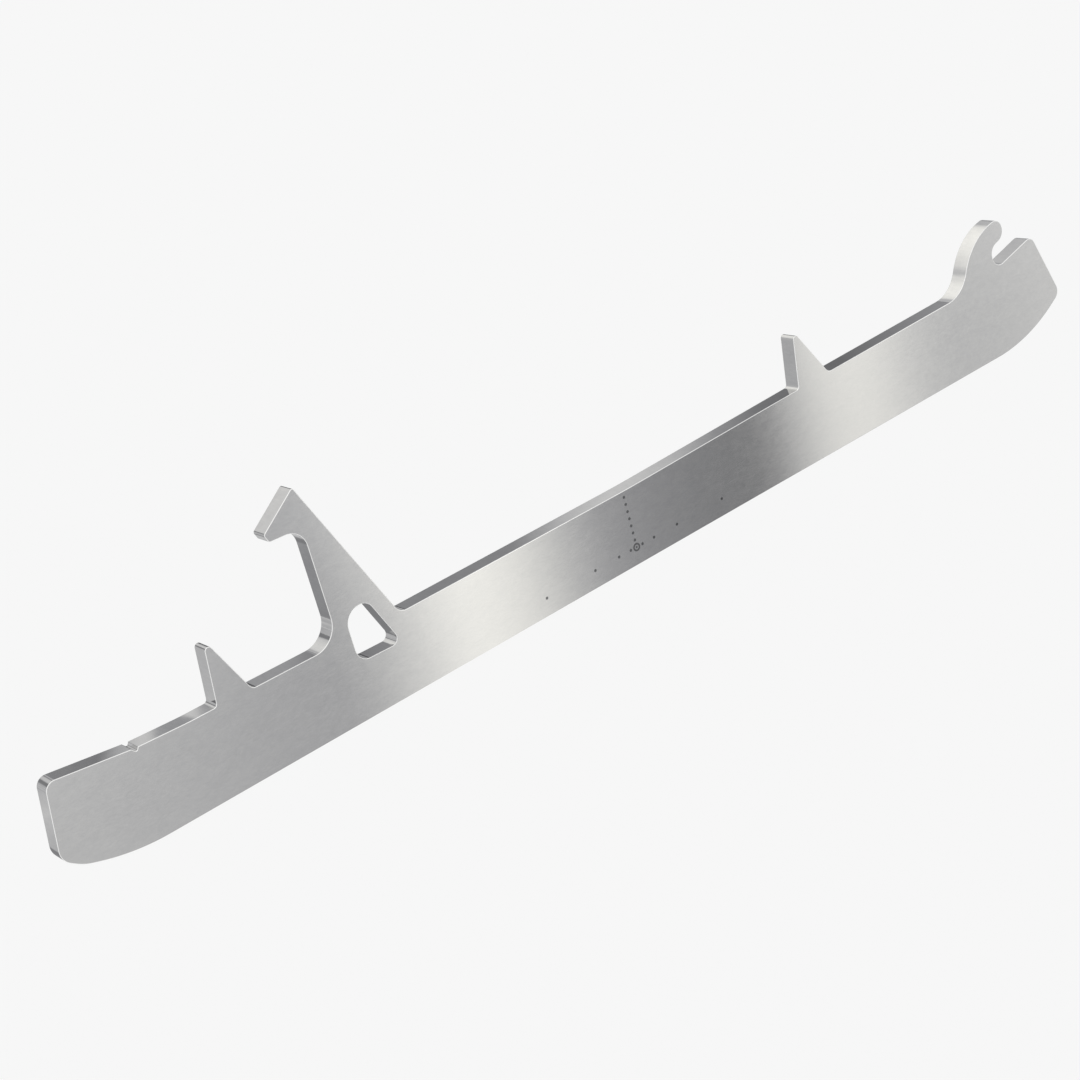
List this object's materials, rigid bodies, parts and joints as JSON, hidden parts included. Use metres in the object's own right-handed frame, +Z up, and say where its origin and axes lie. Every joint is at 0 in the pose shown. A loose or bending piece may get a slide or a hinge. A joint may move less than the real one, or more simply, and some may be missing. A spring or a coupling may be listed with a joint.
{
  "type": "ice hockey skate runner",
  "caption": "Flat stainless steel runner for an ice hockey skate, with a catch hook, stop tabs and a slotted toe finger that lock it into the skate's blade holder.",
  "frame": {"origin": "under the middle of the plate, on the running edge, at half the thickness", "axes": "+X towards the toe, +Z up from the running edge to the hook, +Y through the thickness, away from the laser-marked face"},
  "size_m": [0.2122, 0.0032, 0.0384],
  "materials": {
    "runner_steel": "fine lengthwise brushed stainless steel with softened edges"
  },
  "bodies": {
    "root": {"steel_runner": "runner_steel"}
  },
  "joints": []
}
